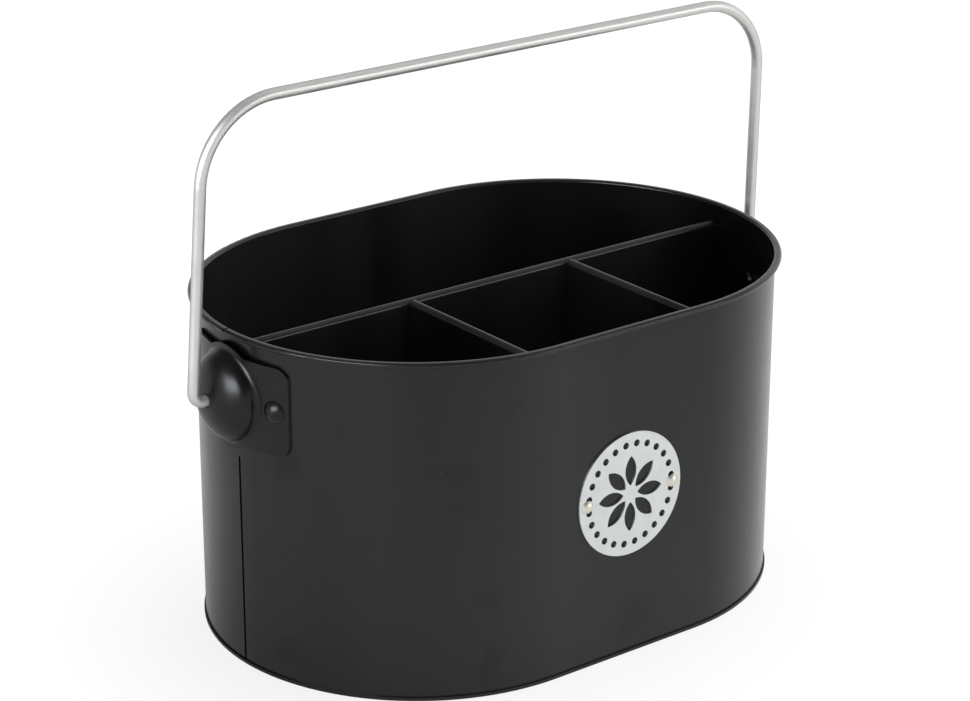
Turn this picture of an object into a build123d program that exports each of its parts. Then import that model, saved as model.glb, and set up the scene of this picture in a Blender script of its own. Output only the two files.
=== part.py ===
"""Oblong sheet-steel cutlery holder with a wire bail, four compartments and a riveted badge.

Millimetres. The origin is on the table under the middle of the tub. +X runs along the tub, -Y is the
badge side and +Z is up. The bail stands nearly upright, leaning a little to the badge side.
"""

import math
import os

from build123d import *

# Tub: an oblong plan of two straight walls and two round ends
half_straight = 35.0
end_radius = 85.9
tub_height = 136.0
sheet = 0.6
rim_width = 3.1
rim_height = 2.1
rim_hem_gap = 0.3
curl_turn = 300.0
fit_gap = 0.05

# Foot: the base sheet is recessed, and its edge is folded round the foot of the wall
base_recess = 3.0
foot_bead_height = 1.5
foot_rounding = 0.5

# Lock seam at the left end: a groove outside, a folded band inside, a notch where the rim's ends meet
seam_offset = 3.4
seam_groove_width = 1.2
seam_groove_depth = 1.0
seam_fold_width = 7.2
seam_fold_lead = 1.6
seam_fold_thickness = 1.2
seam_end_gap = 2.0
seam_groove_drop = 4.0
seam_notch_offset = 1.5
seam_notch_width = 0.8
seam_notch_depth = 0.25

# Dividers: sheet with a curled top edge and spot-welded end flanges
divider_drop = 6.3
divider_bead = 4.0
cross_offset = 39.0
flange_width = 5.0
bead_end_gap = 4.0

# Ears: stamped plates that bow off the round ends between their upright edges, each with a drawn dome
ear_sheet = 1.0
ear_width = 61.0
ear_height = 34.7
ear_corner = 5.0
ear_boss_radius = 20.2
ear_rim_gap = 3.4
ear_bow = 1.5
dome_radius = 17.3
dome_height = 9.1
dome_flare = 2.2

# Ear rivets
ear_rivet_offset = 24.8
ear_rivet_shank = 2.0
ear_rivet_head = 4.5
ear_rivet_head_height = 2.2
ear_rivet_tail = 3.2
ear_rivet_tail_height = 1.2

# Bail: one wire, its straight ends sprung into the domes
wire_diameter = 4.5
pivot_clearance = 0.4
bail_lean = 3.4
bail_reach = 113.8
bail_corner = 31.3
bail_elbow = 4.5
bail_splay = 4.6
leg_standoff = 5.5
tail_engagement = 7.0

# Badge: a pierced rosette disc and its two rivets
badge_radius = 25.0
badge_sheet = 0.8
badge_height = 67.5
rosette_radius = 15.5
hub_radius = 3.4
petal_count = 8
petal_width = 5.4
mark_count = 24
mark_radius = 1.4
mark_circle = 20.4
badge_rivet_offset = 21.0
badge_rivet_shank = 1.4
badge_rivet_head = 2.6
badge_rivet_head_height = 1.2
badge_rivet_tail = 2.2
badge_rivet_tail_height = 0.8

# Levels and faces that several pieces share
wall_inside = end_radius - sheet
rim_roll = rim_height / 2
rim_level = tub_height - rim_roll
foot_level = sheet + fit_gap
floor_level = base_recess + sheet
divider_foot = floor_level + fit_gap
divider_top = tub_height - divider_drop
curl_radius = divider_bead / 2
curl_level = divider_top - curl_radius
divider_reach = wall_inside - fit_gap
ear_back = end_radius + fit_gap
ear_rise = ear_back + ear_bow - math.sqrt(ear_back**2 - (ear_width / 2) ** 2)
ear_curve = ((ear_width / 2) ** 2 + ear_rise**2) / (2 * ear_rise)
ear_face = ear_curve + ear_sheet
ear_axis = half_straight + ear_back + ear_bow - ear_curve
pivot_height = tub_height - rim_height - ear_rim_gap - ear_boss_radius
dome_apex = ear_axis + ear_face + dome_height
badge_back = end_radius + fit_gap
badge_face = badge_back + badge_sheet

# The wall's section stands in front of the right-hand end's centre, outwards to the front
section_plane = Plane(origin=(half_straight, 0, 0), x_dir=(0, -1, 0), z_dir=(-1, 0, 0))
right_end_axis = Axis((half_straight, 0, 0), (0, 0, 1))
left_end_axis = Axis((-half_straight, 0, 0), (0, 0, 1))


def carry_round_tub(section):
    """Carry a wall section along a quarter of the oblong plan, then mirror it to the whole."""
    extrude(amount=half_straight)
    revolve(section, axis=right_end_axis, revolution_arc=90)
    mirror(about=Plane.XZ)
    mirror(about=Plane.YZ)


def radial_plane(side, axis_place, radius, offset, level):
    """Upright plane through an upright axis: local X leaves a round face at offset, local Y is up."""
    lean = math.asin(offset / radius)
    outward = (side * math.cos(lean), math.sin(lean), 0)
    sideways = (math.sin(lean), -side * math.cos(lean), 0)
    return Plane(origin=(side * axis_place, 0, level), x_dir=outward, z_dir=sideways)


def front_plane(offset, depth=0.0):
    """Plane at badge height on the long axis: local Y is up and the plane faces the front."""
    return Plane(origin=(offset, -depth, badge_height), x_dir=(1, 0, 0), z_dir=(0, -1, 0))


def side_of_front_plane(offset):
    """Plane at badge height: local X runs to the front and local Y is up."""
    return Plane(origin=(offset, 0, badge_height), x_dir=(0, -1, 0), z_dir=(-1, 0, 0))


def draw_rivet(face, head, head_height, shank, seat, tail, tail_height):
    """Half section of a set rivet along local X: domed head outside, rolled tail inside."""
    dimple = (seat - tail_height / 2, 0)
    crown = (face + head_height, 0)
    with BuildLine() as outline:
        Polyline(
            dimple,
            (seat - tail_height, shank),
            (seat - tail_height, (shank + tail) / 2),
            (seat, tail),
            (seat, shank),
            (face, shank),
            (face, head),
        )
        RadiusArc((face, head), crown, (head**2 + head_height**2) / (2 * head_height))
        Line(crown, dimple)
    make_face(outline.edges())


def draw_curl(centre, outer_radius, inner_radius):
    """Curled sheet edge in section: local Y is up and the curl starts on its -X side."""
    with BuildLine() as outline:
        outside = CenterArc(centre, outer_radius, 180, -curl_turn)
        inside = CenterArc(centre, inner_radius, 180, -curl_turn)
        Line(outside @ 0, inside @ 0)
        Line(outside @ 1, inside @ 1)
    make_face(outline.edges())


def draw_seam_band(outer_radius, thickness, clearance=0.0):
    """Plan of the lock seam's fold at the left end, grown by a clearance inwards and to both sides."""
    with Locations((-half_straight, 0)):
        Circle(outer_radius)
        Circle(wall_inside - thickness - clearance, mode=Mode.SUBTRACT)
    with Locations((-half_straight - end_radius, seam_fold_width / 2 - seam_offset - seam_fold_lead)):
        Rectangle(end_radius, seam_fold_width + 2 * clearance, mode=Mode.INTERSECT)


def draw_divider_plan(left_reach, inset=0.0):
    """Plan of the space that a divider may fill, with its own reach at the left end."""
    right = divider_reach - inset
    left = left_reach - inset
    with BuildLine() as outline:
        Line((-half_straight, -left), (half_straight, -right))
        CenterArc((half_straight, 0), right, -90, 180)
        Line((half_straight, right), (-half_straight, left))
        CenterArc((-half_straight, 0), left, 90, 180)
    make_face(outline.edges())


def runs_round_dome_foot(edge):
    """Whether an edge of the left ear lies where its dome leaves the plate's face."""
    for share in (0.1, 0.5, 0.8):
        point = edge @ share
        from_dome = math.hypot(point.Y, point.Z - pivot_height) - dome_radius
        from_face = math.hypot(point.X + ear_axis, point.Y) - ear_face
        if max(abs(from_dome), abs(from_face)) > fit_gap / 2:
            return False
    return True


os.makedirs("parts", exist_ok=True)

# Tub wall: flattened curl of the rim, lock seam and rivet holes
with BuildPart() as body_wall:
    with BuildSketch(section_plane) as wall_section:
        with BuildLine():
            rim_inner = (wall_inside + rim_roll, rim_level)
            rim_outer = (wall_inside + rim_width - rim_roll, rim_level)
            outside_rise = CenterArc(rim_inner, rim_roll, 180, -90)
            outside_turn = CenterArc(rim_outer, rim_roll, 90, -180)
            inside_rise = CenterArc(rim_inner, rim_roll - sheet, 180, -90)
            inside_turn = CenterArc(rim_outer, rim_roll - sheet, 90, -180)
            Line(outside_rise @ 1, outside_turn @ 0)
            Line(inside_rise @ 1, inside_turn @ 0)
            Polyline(
                outside_turn @ 1,
                (end_radius + rim_hem_gap, tub_height - rim_height),
                (end_radius + rim_hem_gap, tub_height - rim_height + sheet),
                inside_turn @ 1,
            )
            Polyline(
                inside_rise @ 0,
                (end_radius, foot_level),
                (wall_inside, foot_level),
                outside_rise @ 0,
            )
        make_face()
    carry_round_tub(wall_section.sketch)
    notch_turn = math.degrees(seam_notch_width / end_radius)
    with BuildSketch(radial_plane(-1, half_straight, end_radius, seam_notch_offset, 0)) as rim_notch:
        with Locations((wall_inside + rim_width / 2, rim_level)):
            SlotOverall(rim_width + 2 * seam_notch_depth, rim_height + 2 * seam_notch_depth)
            SlotOverall(
                rim_width - 2 * seam_notch_depth,
                rim_height - 2 * seam_notch_depth,
                mode=Mode.SUBTRACT,
            )
            Rectangle(2 * rim_width, rim_height, align=(Align.CENTER, Align.MIN), mode=Mode.INTERSECT)
    revolve(axis=left_end_axis, revolution_arc=notch_turn, mode=Mode.SUBTRACT)
    seam_top = tub_height - rim_height - seam_end_gap
    with BuildSketch(Plane.XY.offset(foot_level)) as fold_band:
        draw_seam_band(wall_inside + sheet / 2, seam_fold_thickness)
    extrude(amount=seam_top - foot_level)
    groove_floor = math.sqrt(end_radius**2 - seam_offset**2) - seam_groove_depth
    with BuildSketch(Plane.XY.offset(foot_bead_height)) as seam_groove:
        with Locations((-half_straight - groove_floor, -seam_offset)):
            Rectangle(2 * seam_groove_depth, seam_groove_width, align=(Align.MAX, Align.CENTER))
    groove_top = pivot_height - ear_boss_radius - seam_groove_drop
    extrude(amount=groove_top - foot_bead_height, mode=Mode.SUBTRACT)
    for side in (-1, 1):
        for offset in (-ear_rivet_offset, ear_rivet_offset):
            rivet_axis = radial_plane(side, ear_axis, ear_face, offset, pivot_height)
            with BuildSketch(Plane(rivet_axis.origin, rivet_axis.y_dir, rivet_axis.x_dir)):
                Circle(ear_rivet_shank + fit_gap)
            extrude(amount=ear_face, mode=Mode.SUBTRACT)
    with BuildSketch(front_plane(0)):
        with Locations((-badge_rivet_offset, 0), (badge_rivet_offset, 0)):
            Circle(badge_rivet_shank + fit_gap)
    extrude(amount=badge_face, mode=Mode.SUBTRACT)

body_wall.part.label = "body_wall"
export_step(body_wall.part, "parts/body_wall.step")

# Base pan: recessed panel, its edge a channel round the foot of the wall, cut out for the seam's fold
with BuildPart() as base_pan:
    leg_inside = wall_inside - fit_gap
    leg_outside = end_radius + fit_gap
    with BuildSketch(section_plane) as channel_section:
        with BuildLine():
            Polyline(
                (leg_inside - sheet, floor_level),
                (leg_inside - sheet, 0),
                (leg_outside + sheet, 0),
                (leg_outside + sheet, foot_bead_height),
                (leg_outside, foot_bead_height),
                (leg_outside, sheet),
                (leg_inside, sheet),
                (leg_inside, floor_level),
                close=True,
            )
        make_face()
        outer_edge = channel_section.vertices().group_by(Axis.Y)[0].sort_by(Axis.X)[-1]
        fillet(outer_edge, foot_rounding)
    carry_round_tub(channel_section.sketch)
    with BuildSketch(Plane.XY.offset(base_recess)):
        SlotCenterToCenter(2 * half_straight, 2 * (leg_inside - sheet))
    extrude(amount=sheet)
    with BuildSketch(Plane.XY.offset(sheet)) as seam_clearance:
        draw_seam_band(wall_inside, seam_fold_thickness, clearance=fit_gap)
    extrude(amount=floor_level, mode=Mode.SUBTRACT)

base_pan.part.label = "base_pan"
export_step(base_pan.part, "parts/base_pan.step")

# Long divider: end to end, its left flange on the seam's fold
with BuildPart() as long_divider:
    left_reach = divider_reach - seam_fold_thickness
    with BuildSketch(Plane.XY.offset(divider_foot)) as web:
        draw_divider_plan(left_reach)
        with Locations((0, sheet / 2 - curl_radius)):
            Rectangle(4 * end_radius, sheet, mode=Mode.INTERSECT)
    extrude(amount=curl_level - divider_foot)
    with BuildSketch(Plane.XY.offset(divider_foot)) as end_flanges:
        draw_divider_plan(left_reach)
        with BuildSketch(mode=Mode.SUBTRACT):
            draw_divider_plan(left_reach, inset=sheet)
        with Locations((0, sheet - curl_radius)):
            Rectangle(4 * end_radius, flange_width, align=(Align.CENTER, Align.MAX), mode=Mode.INTERSECT)
    extrude(amount=curl_level - divider_foot)
    curl_start = half_straight + left_reach - bead_end_gap
    curl_length = curl_start + half_straight + divider_reach - bead_end_gap
    with BuildSketch(Plane(origin=(-curl_start, 0, 0), x_dir=(0, 1, 0), z_dir=(1, 0, 0))):
        draw_curl((0, curl_level), curl_radius, curl_radius - sheet)
    extrude(amount=curl_length)

long_divider.part.label = "long_divider"
export_step(long_divider.part, "parts/long_divider.step")

# Cross dividers: from the long divider to the front wall
for name, middle in (("cross_divider_left", -cross_offset), ("cross_divider_right", cross_offset)):
    with BuildPart() as cross_divider:
        rear = curl_radius + fit_gap
        web_side = middle - curl_radius
        with BuildSketch(Plane.XY.offset(divider_foot)) as web:
            draw_divider_plan(divider_reach)
            with Locations((web_side, -rear)):
                Rectangle(sheet, end_radius, align=(Align.MIN, Align.MAX), mode=Mode.INTERSECT)
        extrude(amount=curl_level - divider_foot)
        with BuildSketch(Plane.XY.offset(divider_foot)) as front_flange:
            draw_divider_plan(divider_reach)
            with BuildSketch(mode=Mode.SUBTRACT):
                draw_divider_plan(divider_reach, inset=sheet)
            with Locations((web_side, -rear)):
                Rectangle(flange_width, end_radius, align=(Align.MIN, Align.MAX), mode=Mode.INTERSECT)
        extrude(amount=curl_level - divider_foot)
        with BuildSketch(Plane.XY.offset(divider_foot)) as rear_flange:
            with Locations((web_side, -rear)):
                Rectangle(flange_width, sheet, align=(Align.MIN, Align.MAX))
        extrude(amount=curl_level - divider_foot)
        inside_corner = max(abs(middle) + curl_radius - half_straight, 0)
        front_end = math.sqrt(divider_reach**2 - inside_corner**2)
        with BuildSketch(Plane(origin=(middle, -rear, 0), x_dir=(1, 0, 0), z_dir=(0, -1, 0))):
            draw_curl((0, curl_level), curl_radius, curl_radius - sheet)
        extrude(amount=front_end - rear - sheet)
    cross_divider.part.label = name
    export_step(cross_divider.part, f"parts/{name}.step")

# Left ear: bowed plate, drawn dome with a flared foot, hole for the bail's end
with BuildPart() as left_ear:
    with BuildSketch(Plane.XY.offset(pivot_height - ear_height)):
        with Locations((-ear_axis, 0)):
            Circle(ear_face)
            Circle(ear_curve, mode=Mode.SUBTRACT)
    extrude(amount=2 * ear_height)
    with BuildSketch(Plane.YZ.offset(-ear_axis)):
        with Locations((0, pivot_height)):
            RectangleRounded(ear_width, ear_height, ear_corner)
            Circle(ear_boss_radius)
    extrude(amount=-2 * ear_face, mode=Mode.INTERSECT)
    dome_plane = Plane(
        origin=(-ear_axis - ear_face, 0, pivot_height),
        x_dir=(-1, 0, 0),
        z_dir=(0, 1, 0),
    )
    dome_axis = Axis(dome_plane.origin, dome_plane.x_dir)
    skirt = 2 * (ear_face - math.sqrt(ear_curve**2 - dome_radius**2))
    with BuildSketch(dome_plane):
        with BuildLine():
            EllipticalCenterArc((0, 0), dome_height, dome_radius, arc_size=90)
            Polyline((0, dome_radius), (-skirt, dome_radius), (-skirt, 0), (dome_height, 0))
        make_face()
    revolve(axis=dome_axis)
    with BuildSketch(Plane.XY.offset(pivot_height - ear_height)):
        with Locations((-ear_axis, 0)):
            Circle(ear_curve)
    extrude(amount=2 * ear_height, mode=Mode.SUBTRACT)
    dome_foot = left_ear.edges().filter_by(runs_round_dome_foot)
    fillet(dome_foot, dome_flare)
    with BuildSketch(dome_plane):
        with BuildLine():
            EllipticalCenterArc((0, 0), dome_height - ear_sheet, dome_radius - ear_sheet, arc_size=90)
            Polyline(
                (0, dome_radius - ear_sheet),
                (-skirt, dome_radius - ear_sheet),
                (-skirt, 0),
                (dome_height - ear_sheet, 0),
            )
        make_face()
    revolve(axis=dome_axis, mode=Mode.SUBTRACT)
    with BuildSketch(Plane(dome_plane.origin, dome_plane.y_dir, dome_plane.x_dir)):
        Circle(wire_diameter / 2 + pivot_clearance)
    extrude(amount=2 * dome_height, mode=Mode.SUBTRACT)
    for offset in (-ear_rivet_offset, ear_rivet_offset):
        rivet_axis = radial_plane(-1, ear_axis, ear_face, offset, pivot_height)
        with BuildSketch(Plane(rivet_axis.origin, rivet_axis.y_dir, rivet_axis.x_dir)):
            Circle(ear_rivet_shank + fit_gap)
        extrude(amount=2 * ear_face, mode=Mode.SUBTRACT)

left_ear.part.label = "left_ear"
export_step(left_ear.part, "parts/left_ear.step")

# Right ear: the left one's mirror image
with BuildPart() as right_ear:
    mirror(left_ear.part, about=Plane.YZ)

right_ear.part.label = "right_ear"
export_step(right_ear.part, "parts/right_ear.step")

# Ear rivets, two to an ear
rivet_lean = math.asin(ear_rivet_offset / ear_face)
axis_gap = ear_axis - half_straight
tail_swing = ear_rivet_tail + axis_gap * math.sin(rivet_lean)
tail_seat = math.sqrt(wall_inside**2 - tail_swing**2) - axis_gap * math.cos(rivet_lean) - fit_gap
for name, side in (("left_ear_rivets", -1), ("right_ear_rivets", 1)):
    with BuildPart() as ear_rivets:
        for offset in (-ear_rivet_offset, ear_rivet_offset):
            rivet_axis = radial_plane(side, ear_axis, ear_face, offset, pivot_height)
            with BuildSketch(rivet_axis):
                draw_rivet(
                    ear_face + fit_gap,
                    ear_rivet_head,
                    ear_rivet_head_height,
                    ear_rivet_shank,
                    tail_seat,
                    ear_rivet_tail,
                    ear_rivet_tail_height,
                )
            revolve(axis=Axis(rivet_axis.origin, rivet_axis.x_dir))
    ear_rivets.part.label = name
    export_step(ear_rivets.part, f"parts/{name}.step")

# Bail: one bent wire, leaning about the pivots in the domes
with BuildPart() as bail_handle:
    leg_foot = dome_apex + leg_standoff
    leg_top = leg_foot - bail_splay
    tail_end = dome_apex - tail_engagement
    lean = math.radians(bail_lean)
    bail_plane = Plane(
        origin=(0, 0, pivot_height),
        x_dir=(1, 0, 0),
        z_dir=(0, -math.cos(lean), -math.sin(lean)),
    )
    with BuildLine(bail_plane):
        FilletPolyline(
            (-tail_end, 0),
            (-leg_foot, 0),
            (-leg_top, bail_reach),
            (leg_top, bail_reach),
            (leg_foot, 0),
            (tail_end, 0),
            radius=[bail_elbow, bail_corner, bail_corner, bail_elbow],
        )
    with BuildSketch(Plane(origin=(-tail_end, 0, pivot_height), z_dir=(-1, 0, 0))):
        Circle(wire_diameter / 2)
    sweep()

bail_handle.part.label = "bail_handle"
export_step(bail_handle.part, "parts/bail_handle.step")

# Badge plate: rosette of pierced petals inside a ring of small round marks
with BuildPart() as badge_plate:
    with BuildSketch(front_plane(0, badge_back)):
        Circle(badge_radius)
        with Locations((-badge_rivet_offset, 0), (badge_rivet_offset, 0)):
            Circle(badge_rivet_shank + fit_gap, mode=Mode.SUBTRACT)
        mark_step = 360 / mark_count
        for index in range(mark_count):
            mark_angle = math.radians((index + 0.5) * mark_step)
            with Locations((mark_circle * math.cos(mark_angle), mark_circle * math.sin(mark_angle))):
                Circle(mark_radius, mode=Mode.SUBTRACT)
        petal_middle = (hub_radius + rosette_radius) / 2
        with BuildSketch(mode=Mode.PRIVATE) as petal:
            with BuildLine():
                ThreePointArc((hub_radius, 0), (petal_middle, petal_width / 2), (rosette_radius, 0))
                ThreePointArc((hub_radius, 0), (petal_middle, -petal_width / 2), (rosette_radius, 0))
            make_face()
        with PolarLocations(0, petal_count):
            add(petal.sketch, mode=Mode.SUBTRACT)
    extrude(amount=badge_sheet)

badge_plate.part.label = "badge_plate"
export_step(badge_plate.part, "parts/badge_plate.step")

# Badge rivets
with BuildPart() as badge_rivets:
    for offset in (-badge_rivet_offset, badge_rivet_offset):
        rivet_plane = side_of_front_plane(offset)
        with BuildSketch(rivet_plane):
            draw_rivet(
                badge_face + fit_gap,
                badge_rivet_head,
                badge_rivet_head_height,
                badge_rivet_shank,
                wall_inside - fit_gap,
                badge_rivet_tail,
                badge_rivet_tail_height,
            )
        revolve(axis=Axis(rivet_plane.origin, rivet_plane.x_dir))

badge_rivets.part.label = "badge_rivets"
export_step(badge_rivets.part, "parts/badge_rivets.step")
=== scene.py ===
"""Looks of a black enamelled cutlery holder with a plated wire bail and a pierced metal badge.

Metres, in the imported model's frame: +X along the tub, -Y towards the badge side, +Z up.
"""

import math

import bpy
from mathutils import Matrix, Vector

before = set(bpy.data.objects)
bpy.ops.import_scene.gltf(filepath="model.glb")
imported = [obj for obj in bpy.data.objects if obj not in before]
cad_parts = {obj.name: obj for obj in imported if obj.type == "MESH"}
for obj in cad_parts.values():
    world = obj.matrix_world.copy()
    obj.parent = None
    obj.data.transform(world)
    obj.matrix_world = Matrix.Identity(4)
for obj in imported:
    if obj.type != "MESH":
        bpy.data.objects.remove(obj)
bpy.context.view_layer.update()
millimetre = 0.001

# Camera: the photograph's viewing angle, its image 970 by 701 pixels
camera_place = (-0.6397, -0.8223, 0.5012)
camera_turn = -37.776
camera_drop = 21.11
camera_roll = 0.08
image_width = 970
focal_length_in_pixels = 2815.6
sensor_width = 36.0

# Sockets of a Mix node that mixes colours, by number because its other kinds have sockets of the same names
mix_share = 0
mix_first = 6
mix_second = 7
mixed = 2


def linear(colour):
    """Linear red, green, blue and alpha of an sRGB hex colour."""
    shades = [int(colour[start:start + 2], 16) / 255 for start in (1, 3, 5)]
    return [
        shade / 12.92 if shade <= 0.04045 else ((shade + 0.055) / 1.055) ** 2.4
        for shade in shades
    ] + [1.0]


def per_metre(size_mm):
    """Texture scale that makes one cell of a pattern as large as a size in millimetres."""
    return 1 / (size_mm * millimetre)


def add(tree, kind, inputs=None, **settings):
    """Add a node with its settings; each input is a value, or a socket that is linked to it."""
    made = tree.nodes.new(kind)
    for name, value in settings.items():
        setattr(made, name, value)
    for name, value in (inputs or {}).items():
        if isinstance(value, bpy.types.NodeSocket):
            tree.links.new(value, made.inputs[name])
        else:
            made.inputs[name].default_value = value
    return made


def new_material(name):
    """An empty node material, its node tree and its output node."""
    material = bpy.data.materials.new(name)
    material.use_nodes = True
    material.node_tree.nodes.clear()
    output = material.node_tree.nodes.new("ShaderNodeOutputMaterial")
    return material, material.node_tree, output


def stove_enamel(name, dark, light, roughness):
    """Black stove enamel sprayed on sheet steel and baked.

    It gives the eye a near-black satin skin: a faint orange peel, broad upright stripes of lighter and
    darker coat that are painted reflection of uneven surroundings, clouds that dull the gloss here and
    there, a few greasy finger marks that look darker, and pale nibs of dust baked into the coat.
    """
    peel_size = 1.4
    peel_depth = 0.008
    # Painted reflection: upright stripes of lighter and darker coat, their width, stretch and shift set so
    # that they fall where the sheet mirrors brighter and dimmer surroundings
    painted_band_width = 50
    painted_band_stretch = (1, 1, 0.1)
    painted_band_shift = (0.21, 0.3, 0)
    cloud_size = 38
    finger_mark_size = 27
    dust_spacing = 13
    enamel_refraction = 1.35
    material, tree, output = new_material(name)
    place = add(tree, "ShaderNodeTexCoord").outputs["Object"]
    peel = add(tree, "ShaderNodeTexNoise", {
        "Vector": place, "Scale": per_metre(peel_size), "Detail": 2.0,
    })
    clouds = add(tree, "ShaderNodeTexNoise", {
        "Vector": place, "Scale": per_metre(cloud_size), "Detail": 5.0,
    })
    finger_marks = add(tree, "ShaderNodeTexNoise", {
        "Vector": place, "Scale": per_metre(finger_mark_size), "Detail": 1.5,
    })
    dust = add(tree, "ShaderNodeTexVoronoi", {"Vector": place, "Scale": per_metre(dust_spacing)})
    # Painted reflection stripes: the place is drawn out upright before the noise
    painted_band_place = add(tree, "ShaderNodeVectorMath", {
        0: place, 1: painted_band_stretch, 2: painted_band_shift,
    }, operation="MULTIPLY_ADD")
    painted_reflection_bands = add(tree, "ShaderNodeTexNoise", {
        "Vector": painted_band_place.outputs["Vector"], "Scale": per_metre(painted_band_width), "Detail": 1.0,
    })
    dulled = add(tree, "ShaderNodeMapRange", {
        "Value": clouds.outputs["Fac"], "From Min": 0.35, "From Max": 0.68,
        "To Min": roughness - 0.03, "To Max": roughness + 0.05,
    })
    greased = add(tree, "ShaderNodeMapRange", {
        "Value": finger_marks.outputs["Fac"], "From Min": 0.62, "From Max": 0.88,
        "To Min": 0.0, "To Max": 0.9,
    })
    speckled = add(tree, "ShaderNodeMapRange", {
        "Value": dust.outputs["Distance"], "From Min": 0.015, "From Max": 0.035,
        "To Min": 1.0, "To Max": 0.0,
    })
    # Share of the lighter coat in the painted reflection stripes
    painted_reflection_mask = add(tree, "ShaderNodeMapRange", {
        "Value": painted_reflection_bands.outputs["Fac"], "From Min": 0.35, "From Max": 0.65,
        "To Min": 0.0, "To Max": 1.0,
    }, interpolation_type="SMOOTHSTEP")
    # Coat colour with the painted reflection stripes in it
    coat = add(tree, "ShaderNodeMix", {
        mix_share: painted_reflection_mask.outputs["Result"], mix_first: linear(dark), mix_second: linear(light),
    }, data_type="RGBA")
    marked = add(tree, "ShaderNodeMix", {
        mix_share: greased.outputs["Result"],
        mix_first: coat.outputs[mixed], mix_second: linear("#050505"),
    }, data_type="RGBA")
    colour = add(tree, "ShaderNodeMix", {
        mix_share: speckled.outputs["Result"],
        mix_first: marked.outputs[mixed], mix_second: linear("#3c3c3b"),
    }, data_type="RGBA")
    bump = add(tree, "ShaderNodeBump", {
        "Height": peel.outputs["Fac"], "Strength": 1.0, "Distance": peel_depth * millimetre,
    })
    skin = add(tree, "ShaderNodeBsdfPrincipled", {
        "Base Color": colour.outputs[mixed], "Roughness": dulled.outputs["Result"],
        "Normal": bump.outputs["Normal"], "IOR": enamel_refraction,
    })
    tree.links.new(skin.outputs["BSDF"], output.inputs["Surface"])
    return material


def zinc_plated_wire():
    """Bright zinc plate on drawn steel wire.

    It gives the eye a pale grey metal, slightly cloudy and dull enough to scatter part of the light, with
    fine draw marks that blur its reflections. The marks are drawn coarser than real ones, so that they show.
    """
    bloom_size = 9
    draw_mark_size = 0.8
    draw_mark_depth = 0.01
    material, tree, output = new_material("bright_zinc_on_drawn_wire")
    place = add(tree, "ShaderNodeTexCoord").outputs["Object"]
    bloom = add(tree, "ShaderNodeTexNoise", {
        "Vector": place, "Scale": per_metre(bloom_size), "Detail": 4.0,
    })
    draw_marks = add(tree, "ShaderNodeTexNoise", {
        "Vector": place, "Scale": per_metre(draw_mark_size), "Detail": 2.0,
    })
    dulled = add(tree, "ShaderNodeMapRange", {
        "Value": bloom.outputs["Fac"], "From Min": 0.3, "From Max": 0.7, "To Min": 0.38, "To Max": 0.48,
    })
    colour = add(tree, "ShaderNodeMix", {
        mix_share: bloom.outputs["Fac"], mix_first: linear("#d0d1ce"), mix_second: linear("#dededb"),
    }, data_type="RGBA")
    bump = add(tree, "ShaderNodeBump", {
        "Height": draw_marks.outputs["Fac"], "Strength": 1.0, "Distance": draw_mark_depth * millimetre,
    })
    skin = add(tree, "ShaderNodeBsdfPrincipled", {
        "Base Color": colour.outputs[mixed], "Roughness": dulled.outputs["Result"],
        "Normal": bump.outputs["Normal"], "Metallic": 0.68, "Specular Tint": linear("#686868"),
    })
    tree.links.new(skin.outputs["BSDF"], output.inputs["Surface"])
    return material


def satin_aluminium():
    """Aluminium sheet, blanked and tumbled to a satin face.

    It gives the eye a cool pale metal with a fine mottle and a soft, wide gloss. The tumbled grain is drawn
    coarser than the real one, so that it shows.
    """
    mottle_size = 4
    grain_size = 0.5
    grain_depth = 0.008
    material, tree, output = new_material("satin_aluminium_blanked_sheet")
    place = add(tree, "ShaderNodeTexCoord").outputs["Object"]
    mottle = add(tree, "ShaderNodeTexNoise", {
        "Vector": place, "Scale": per_metre(mottle_size), "Detail": 5.0,
    })
    grain = add(tree, "ShaderNodeTexNoise", {
        "Vector": place, "Scale": per_metre(grain_size), "Detail": 2.0,
    })
    colour = add(tree, "ShaderNodeMix", {
        mix_share: mottle.outputs["Fac"], mix_first: linear("#c3c8c7"), mix_second: linear("#d6dad9"),
    }, data_type="RGBA")
    dulled = add(tree, "ShaderNodeMapRange", {
        "Value": mottle.outputs["Fac"], "From Min": 0.3, "From Max": 0.7, "To Min": 0.36, "To Max": 0.48,
    })
    bump = add(tree, "ShaderNodeBump", {
        "Height": grain.outputs["Fac"], "Strength": 1.0, "Distance": grain_depth * millimetre,
    })
    skin = add(tree, "ShaderNodeBsdfPrincipled", {
        "Base Color": colour.outputs[mixed], "Roughness": dulled.outputs["Result"],
        "Normal": bump.outputs["Normal"], "Metallic": 1.0,
    })
    tree.links.new(skin.outputs["BSDF"], output.inputs["Surface"])
    return material


def nickel_plated_rivet():
    """Nickel plate on headed rivet wire.

    It gives the eye a warmer, slightly yellow metal than the sheet round it, with a hammered head.
    """
    hammer_mark_size = 1.5
    hammer_mark_depth = 0.05
    material, tree, output = new_material("nickel_plate_on_set_rivet")
    place = add(tree, "ShaderNodeTexCoord").outputs["Object"]
    hammer_marks = add(tree, "ShaderNodeTexNoise", {
        "Vector": place, "Scale": per_metre(hammer_mark_size), "Detail": 3.0,
    })
    colour = add(tree, "ShaderNodeMix", {
        mix_share: hammer_marks.outputs["Fac"], mix_first: linear("#c8c3b4"), mix_second: linear("#ddd9cc"),
    }, data_type="RGBA")
    bump = add(tree, "ShaderNodeBump", {
        "Height": hammer_marks.outputs["Fac"], "Strength": 1.0, "Distance": hammer_mark_depth * millimetre,
    })
    skin = add(tree, "ShaderNodeBsdfPrincipled", {
        "Base Color": colour.outputs[mixed], "Normal": bump.outputs["Normal"],
        "Metallic": 1.0, "Roughness": 0.38,
    })
    tree.links.new(skin.outputs["BSDF"], output.inputs["Surface"])
    return material


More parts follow.
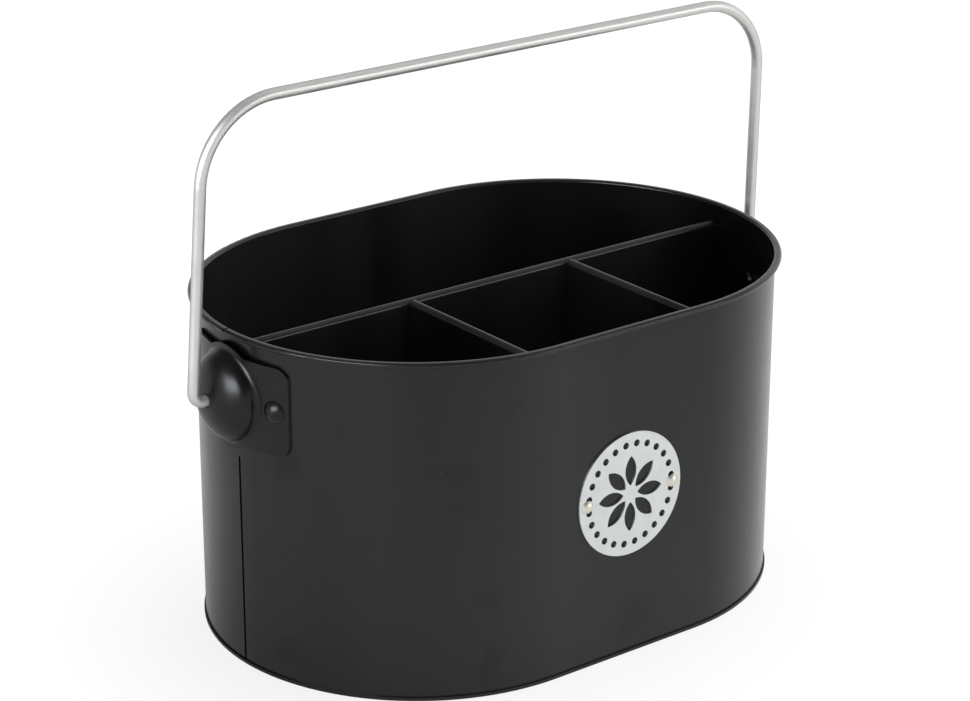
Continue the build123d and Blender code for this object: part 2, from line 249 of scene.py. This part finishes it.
def lay_floor():
    """Plain pale floor, white to the camera and still holding the object's soft shadow near its foot.

    The sheet mirrors the floor too, and there a painted shadow behind its left end takes the white out
    round a fixed point, so that the sheet mirrors only the bare paper there.
    """
    floor_reach = 9.0
    white_strength = 1.1
    shadow_share = 0.25
    shadow_full = 0.13
    shadow_gone = 0.33
    # Painted shadow for mirrored rays: the point behind the left end and the reaches round it where the
    # white is taken out
    painted_shadow_centre = (-0.22, 0.22, 0)
    painted_shadow_core = 0.1
    painted_shadow_edge = 0.42
    mesh = bpy.data.meshes.new("floor")
    corners = [(-floor_reach, -floor_reach, 0), (floor_reach, -floor_reach, 0),
               (floor_reach, floor_reach, 0), (-floor_reach, floor_reach, 0)]
    mesh.from_pydata(corners, [], [(0, 1, 2, 3)])
    floor = bpy.data.objects.new("floor", mesh)
    bpy.context.scene.collection.objects.link(floor)
    material, tree, output = new_material("pale_paper_sweep")
    paper = add(tree, "ShaderNodeBsdfDiffuse", {"Color": linear("#f4f4f4")})
    white = add(tree, "ShaderNodeEmission", {"Color": linear("#ffffff"), "Strength": white_strength})
    rays = add(tree, "ShaderNodeLightPath").outputs
    bounced = add(tree, "ShaderNodeMath", {
        0: rays["Is Glossy Ray"], 1: rays["Is Transmission Ray"],
    }, operation="ADD")
    place = add(tree, "ShaderNodeTexCoord").outputs["Object"]
    # Painted shadow: mirrored rays see less of the white near that point
    away = add(tree, "ShaderNodeVectorMath", {0: place, 1: painted_shadow_centre}, operation="DISTANCE")
    clear_of_painted_shadow = add(tree, "ShaderNodeMapRange", {
        "Value": away.outputs["Value"], "From Min": painted_shadow_core, "From Max": painted_shadow_edge,
        "To Min": 0.0, "To Max": 1 - shadow_share,
    }, interpolation_type="SMOOTHSTEP")
    mirrored = add(tree, "ShaderNodeMath", {
        0: bounced.outputs["Value"], 1: clear_of_painted_shadow.outputs["Result"],
    }, operation="MULTIPLY")
    from_tub = add(tree, "ShaderNodeVectorMath", {0: place}, operation="LENGTH")
    seen = add(tree, "ShaderNodeMapRange", {
        "Value": from_tub.outputs["Value"], "From Min": shadow_full, "From Max": shadow_gone,
        "To Min": 1 - shadow_share, "To Max": 1.0,
    }, interpolation_type="SMOOTHSTEP")
    share = add(tree, "ShaderNodeMath", {
        0: rays["Is Camera Ray"], 1: seen.outputs["Result"], 2: mirrored.outputs["Value"],
    }, operation="MULTIPLY_ADD")
    both = add(tree, "ShaderNodeMixShader", {
        0: share.outputs["Value"], 1: paper.outputs["BSDF"], 2: white.outputs["Emission"],
    })
    tree.links.new(both.outputs["Shader"], output.inputs["Surface"])
    material.cycles.emission_sampling = "NONE"
    mesh.materials.append(material)


def light_studio():
    """White surroundings up to a little above the horizon, a dim ceiling and soft lamps.

    The white reaches higher on the right, where the rim mirrors it.
    """
    horizon_tilt = -0.2
    white_height = 0.1
    ceiling_height = 0.45
    ceiling_level = 0.2
    world = bpy.data.worlds.new("studio")
    bpy.context.scene.world = world
    world.use_nodes = True
    tree = world.node_tree
    tree.nodes.clear()
    output = tree.nodes.new("ShaderNodeOutputWorld")
    direction = add(tree, "ShaderNodeTexCoord").outputs["Generated"]
    towards = add(tree, "ShaderNodeSeparateXYZ", {"Vector": direction}).outputs
    rise = add(tree, "ShaderNodeMath", {
        0: towards["X"], 1: horizon_tilt, 2: towards["Z"],
    }, operation="MULTIPLY_ADD")
    level = add(tree, "ShaderNodeMapRange", {
        "Value": rise.outputs["Value"], "From Min": white_height, "From Max": ceiling_height,
        "To Min": 1.0, "To Max": ceiling_level,
    }, interpolation_type="SMOOTHSTEP")
    sky = add(tree, "ShaderNodeBackground", {
        "Color": linear("#ffffff"), "Strength": level.outputs["Result"],
    })
    tree.links.new(sky.outputs["Background"], output.inputs["Surface"])

    # Name, place, width, height, tilt in degrees, watts, colour, shown in gloss, shining on matt faces
    lamps = (
        ("side_softbox", (-1.40, -0.27, 0.62), 1.15, 0.6, 20, 30.0, "#f4f8ff", True, False),
        ("low_softbox", (0.95, -1.25, 0.42), 0.9, 0.4, 0, 4.2, "#ffffff", True, False),
        ("right_bounce", (1.35, 0.0, 1.35), 2.2, 2.2, 0, 6.0, "#ffffff", True, False),
        ("overhead_fill", (0.6, 0.1, 2.4), 2.6, 2.6, 0, 53.0, "#ffffff", False, True),
    )
    target = Vector((0, 0, 0.1))
    for name, place, width, height, tilt, watts, colour, in_gloss, on_matt in lamps:
        light = bpy.data.lights.new(name, "AREA")
        light.shape = "RECTANGLE"
        light.size = width
        light.size_y = height
        light.energy = watts
        light.color = linear(colour)[:3]
        lamp = bpy.data.objects.new(name, light)
        lamp.location = place
        aim = (target - Vector(place)).to_track_quat("-Z", "Y").to_matrix()
        lamp.rotation_euler = (aim @ Matrix.Rotation(math.radians(tilt), 3, "Z")).to_euler()
        lamp.visible_glossy = in_gloss
        lamp.visible_diffuse = on_matt
        bpy.context.scene.collection.objects.link(lamp)


def set_camera():
    """Camera at the photograph's viewing angle."""
    level_turn = 90
    nearest_seen = 0.01
    lens = bpy.data.cameras.new("camera")
    lens.sensor_fit = "HORIZONTAL"
    lens.sensor_width = sensor_width
    lens.lens = sensor_width * focal_length_in_pixels / image_width
    lens.clip_start = nearest_seen
    camera = bpy.data.objects.new("camera", lens)
    camera.location = camera_place
    turn = Matrix.Rotation(math.radians(camera_turn), 3, "Z")
    drop = Matrix.Rotation(math.radians(level_turn - camera_drop), 3, "X")
    roll = Matrix.Rotation(math.radians(camera_roll), 3, "Z")
    camera.rotation_euler = (turn @ drop @ roll).to_euler()
    bpy.context.scene.collection.objects.link(camera)
    bpy.context.scene.camera = camera


def dress_nodes():
    """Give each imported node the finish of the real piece."""
    rolled = stove_enamel("black_stove_enamel_on_rolled_sheet", "#19191a", "#2a2a2a", 0.22)
    # Painted shade: the ears get the same enamel as the sheet in darker colours, so that they look more
    # dimly lit
    stamping_painted_darker = stove_enamel("black_stove_enamel_on_stamping_painted_darker", "#0e0e0f", "#151515", 0.29)
    finishes = {
        rolled: ("body_wall", "base_pan", "long_divider", "cross_divider_left", "cross_divider_right"),
        stamping_painted_darker: ("left_ear", "right_ear", "left_ear_rivets", "right_ear_rivets"),
        zinc_plated_wire(): ("bail_handle",),
        satin_aluminium(): ("badge_plate",),
        nickel_plated_rivet(): ("badge_rivets",),
    }
    for material, names in finishes.items():
        for name in names:
            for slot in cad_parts[name].material_slots:
                slot.material = material


set_camera()
lay_floor()
light_studio()
dress_nodes()
bpy.context.scene.view_settings.view_transform = "Standard"
